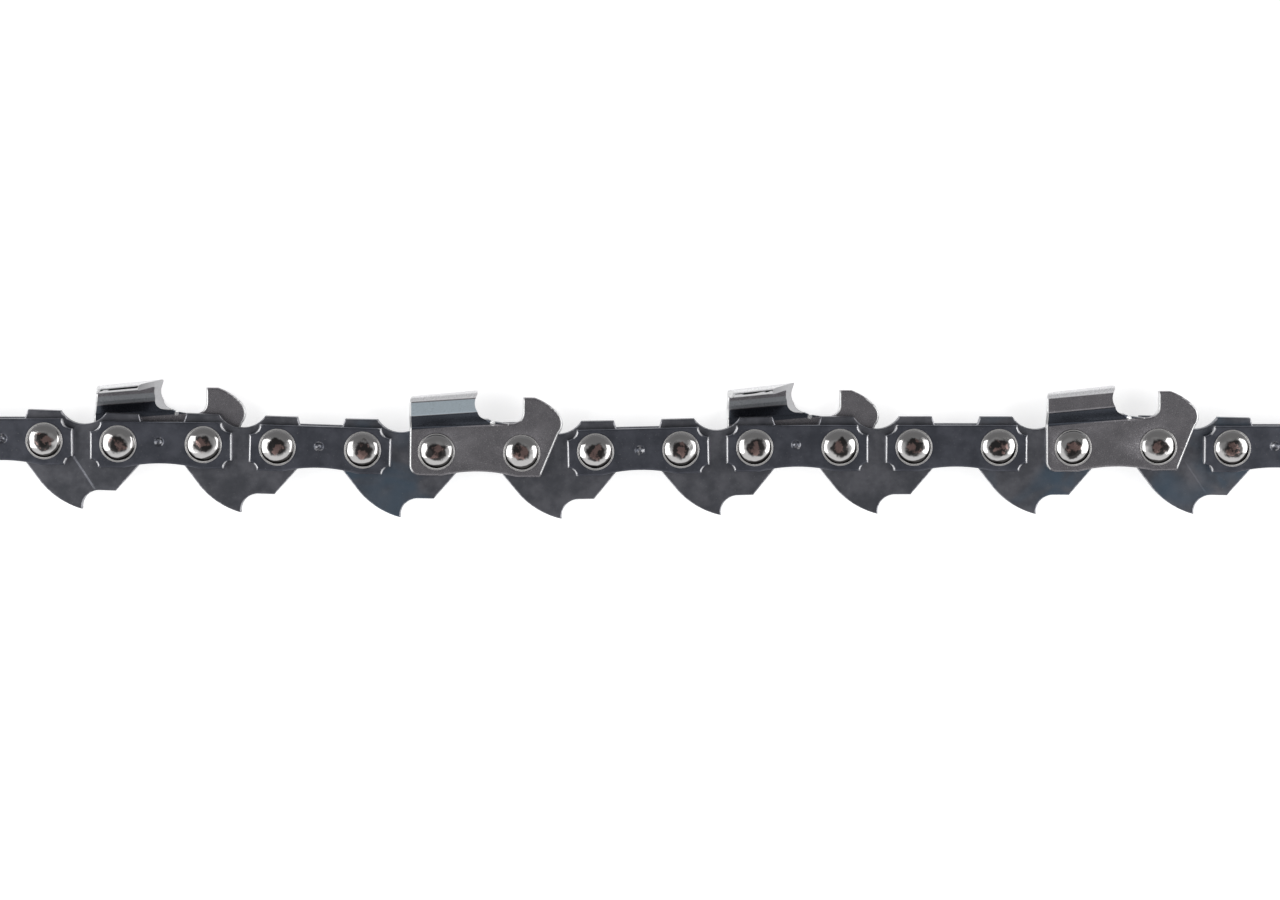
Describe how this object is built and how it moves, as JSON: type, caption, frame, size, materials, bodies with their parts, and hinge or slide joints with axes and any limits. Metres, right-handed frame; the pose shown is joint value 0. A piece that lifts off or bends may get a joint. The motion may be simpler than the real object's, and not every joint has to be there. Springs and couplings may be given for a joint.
{
  "type": "chainsaw chain",
  "caption": "Length of low profile saw chain: hooked drive links joined by riveted tie straps and alternating left and right cutters with depth gauges.",
  "frame": {"origin": "under the middle of the fifth pair of side links, on the surface that the chain lies on", "axes": "+X the way the chain runs, +Y out towards the cutting side, +Z along the rivets towards the chain's right side"},
  "size_m": [0.1658, 0.0164, 0.0063],
  "materials": {
    "tie_strap": "blackened steel, satin, bright at the edges",
    "drive_link": "blackened steel with a faint blue temper tint, satin",
    "cutter": "hard plated steel, fine warm grey speckle, filed edge bright",
    "rivet": "polished spun rivet heads"
  },
  "bodies": {
    "side_links_1": {"left_tie_strap_1": "tie_strap", "right_tie_strap_1": "tie_strap", "rear_rivet_1": "rivet", "front_rivet_1": "rivet"},
    "side_links_2": {"left_cutter_2": "cutter", "right_tie_strap_2": "tie_strap", "rear_rivet_2": "rivet", "front_rivet_2": "rivet"},
    "side_links_3": {"left_tie_strap_3": "tie_strap", "right_tie_strap_3": "tie_strap", "rear_rivet_3": "rivet", "front_rivet_3": "rivet"},
    "side_links_4": {"left_tie_strap_4": "tie_strap", "right_cutter_4": "cutter", "rear_rivet_4": "rivet", "front_rivet_4": "rivet"},
    "side_links_5": {"left_tie_strap_5": "tie_strap", "right_tie_strap_5": "tie_strap", "rear_rivet_5": "rivet", "front_rivet_5": "rivet"},
    "side_links_6": {"left_cutter_6": "cutter", "right_tie_strap_6": "tie_strap", "rear_rivet_6": "rivet", "front_rivet_6": "rivet"},
    "side_links_7": {"left_tie_strap_7": "tie_strap", "right_tie_strap_7": "tie_strap", "rear_rivet_7": "rivet", "front_rivet_7": "rivet"},
    "side_links_8": {"left_tie_strap_8": "tie_strap", "right_cutter_8": "cutter", "rear_rivet_8": "rivet", "front_rivet_8": "rivet"},
    "side_links_9": {"left_tie_strap_9": "tie_strap", "right_tie_strap_9": "tie_strap", "rear_rivet_9": "rivet", "front_rivet_9": "rivet"},
    "drive_1": {"drive_link_1": "drive_link"},
    "drive_2": {"drive_link_2": "drive_link"},
    "drive_3": {"drive_link_3": "drive_link"},
    "drive_4": {"drive_link_4": "drive_link"},
    "drive_5": {"drive_link_5": "drive_link"},
    "drive_6": {"drive_link_6": "drive_link"},
    "drive_7": {"drive_link_7": "drive_link"},
    "drive_8": {"drive_link_8": "drive_link"}
  },
  "joints": [
    {"name": "rear_rivet_2_hinge", "type": "hinge", "parent": "side_links_2", "child": "drive_1", "pos_m": [-0.0609, 0.00082, 0.00315], "axis": [0, 0, 1], "range_deg": [-15, 30]},
    {"name": "front_rivet_1_hinge", "type": "hinge", "parent": "drive_1", "child": "side_links_1", "pos_m": [-0.06954, 0.00116, 0.00315], "axis": [0, 0, 1], "range_deg": [-15, 30]},
    {"name": "rear_rivet_3_hinge", "type": "hinge", "parent": "side_links_3", "child": "drive_2", "pos_m": [-0.04226, 0.00042, 0.00315], "axis": [0, 0, 1], "range_deg": [-15, 30]},
    {"name": "front_rivet_2_hinge", "type": "hinge", "parent": "drive_2", "child": "side_links_2", "pos_m": [-0.05091, 0.00072, 0.00315], "axis": [0, 0, 1], "range_deg": [-15, 30]},
    {"name": "rear_rivet_4_hinge", "type": "hinge", "parent": "side_links_4", "child": "drive_3", "pos_m": [-0.02363, -0.00011, 0.00315], "axis": [0, 0, 1], "range_deg": [-15, 30]},
    {"name": "front_rivet_3_hinge", "type": "hinge", "parent": "drive_3", "child": "side_links_3", "pos_m": [-0.03228, 0.00008, 0.00315], "axis": [0, 0, 1], "range_deg": [-15, 30]},
    {"name": "rear_rivet_5_hinge", "type": "hinge", "parent": "side_links_5", "child": "drive_4", "pos_m": [-0.00499, -0.00012, 0.00315], "axis": [0, 0, 1], "range_deg": [-15, 30]},
    {"name": "front_rivet_4_hinge", "type": "hinge", "parent": "drive_4", "child": "side_links_4", "pos_m": [-0.01364, -0.00027, 0.00315], "axis": [0, 0, 1], "range_deg": [-15, 30]},
    {"name": "front_rivet_5_hinge", "type": "hinge", "parent": "side_links_5", "child": "drive_5", "pos_m": [0.00499, 0.00012, 0.00315], "axis": [0, 0, 1], "range_deg": [-30, 15]},
    {"name": "rear_rivet_6_hinge", "type": "hinge", "parent": "drive_5", "child": "side_links_6", "pos_m": [0.01364, 0.00036, 0.00315], "axis": [0, 0, 1], "range_deg": [-30, 15]},
    {"name": "front_rivet_6_hinge", "type": "hinge", "parent": "side_links_6", "child": "drive_6", "pos_m": [0.02363, 0.00041, 0.00315], "axis": [0, 0, 1], "range_deg": [-30, 15]},
    {"name": "rear_rivet_7_hinge", "type": "hinge", "parent": "drive_6", "child": "side_links_7", "pos_m": [0.03228, 0.00041, 0.00315], "axis": [0, 0, 1], "range_deg": [-30, 15]},
    {"name": "front_rivet_7_hinge", "type": "hinge", "parent": "side_links_7", "child": "drive_7", "pos_m": [0.04227, 0.00038, 0.00315], "axis": [0, 0, 1], "range_deg": [-30, 15]},
    {"name": "rear_rivet_8_hinge", "type": "hinge", "parent": "drive_7", "child": "side_links_8", "pos_m": [0.05092, 0.00035, 0.00315], "axis": [0, 0, 1], "range_deg": [-30, 15]},
    {"name": "front_rivet_8_hinge", "type": "hinge", "parent": "side_links_8", "child": "drive_8", "pos_m": [0.06091, 0.00047, 0.00315], "axis": [0, 0, 1], "range_deg": [-30, 15]},
    {"name": "rear_rivet_9_hinge", "type": "hinge", "parent": "drive_8", "child": "side_links_9", "pos_m": [0.06956, 0.00029, 0.00315], "axis": [0, 0, 1], "range_deg": [-30, 15]}
  ]
}
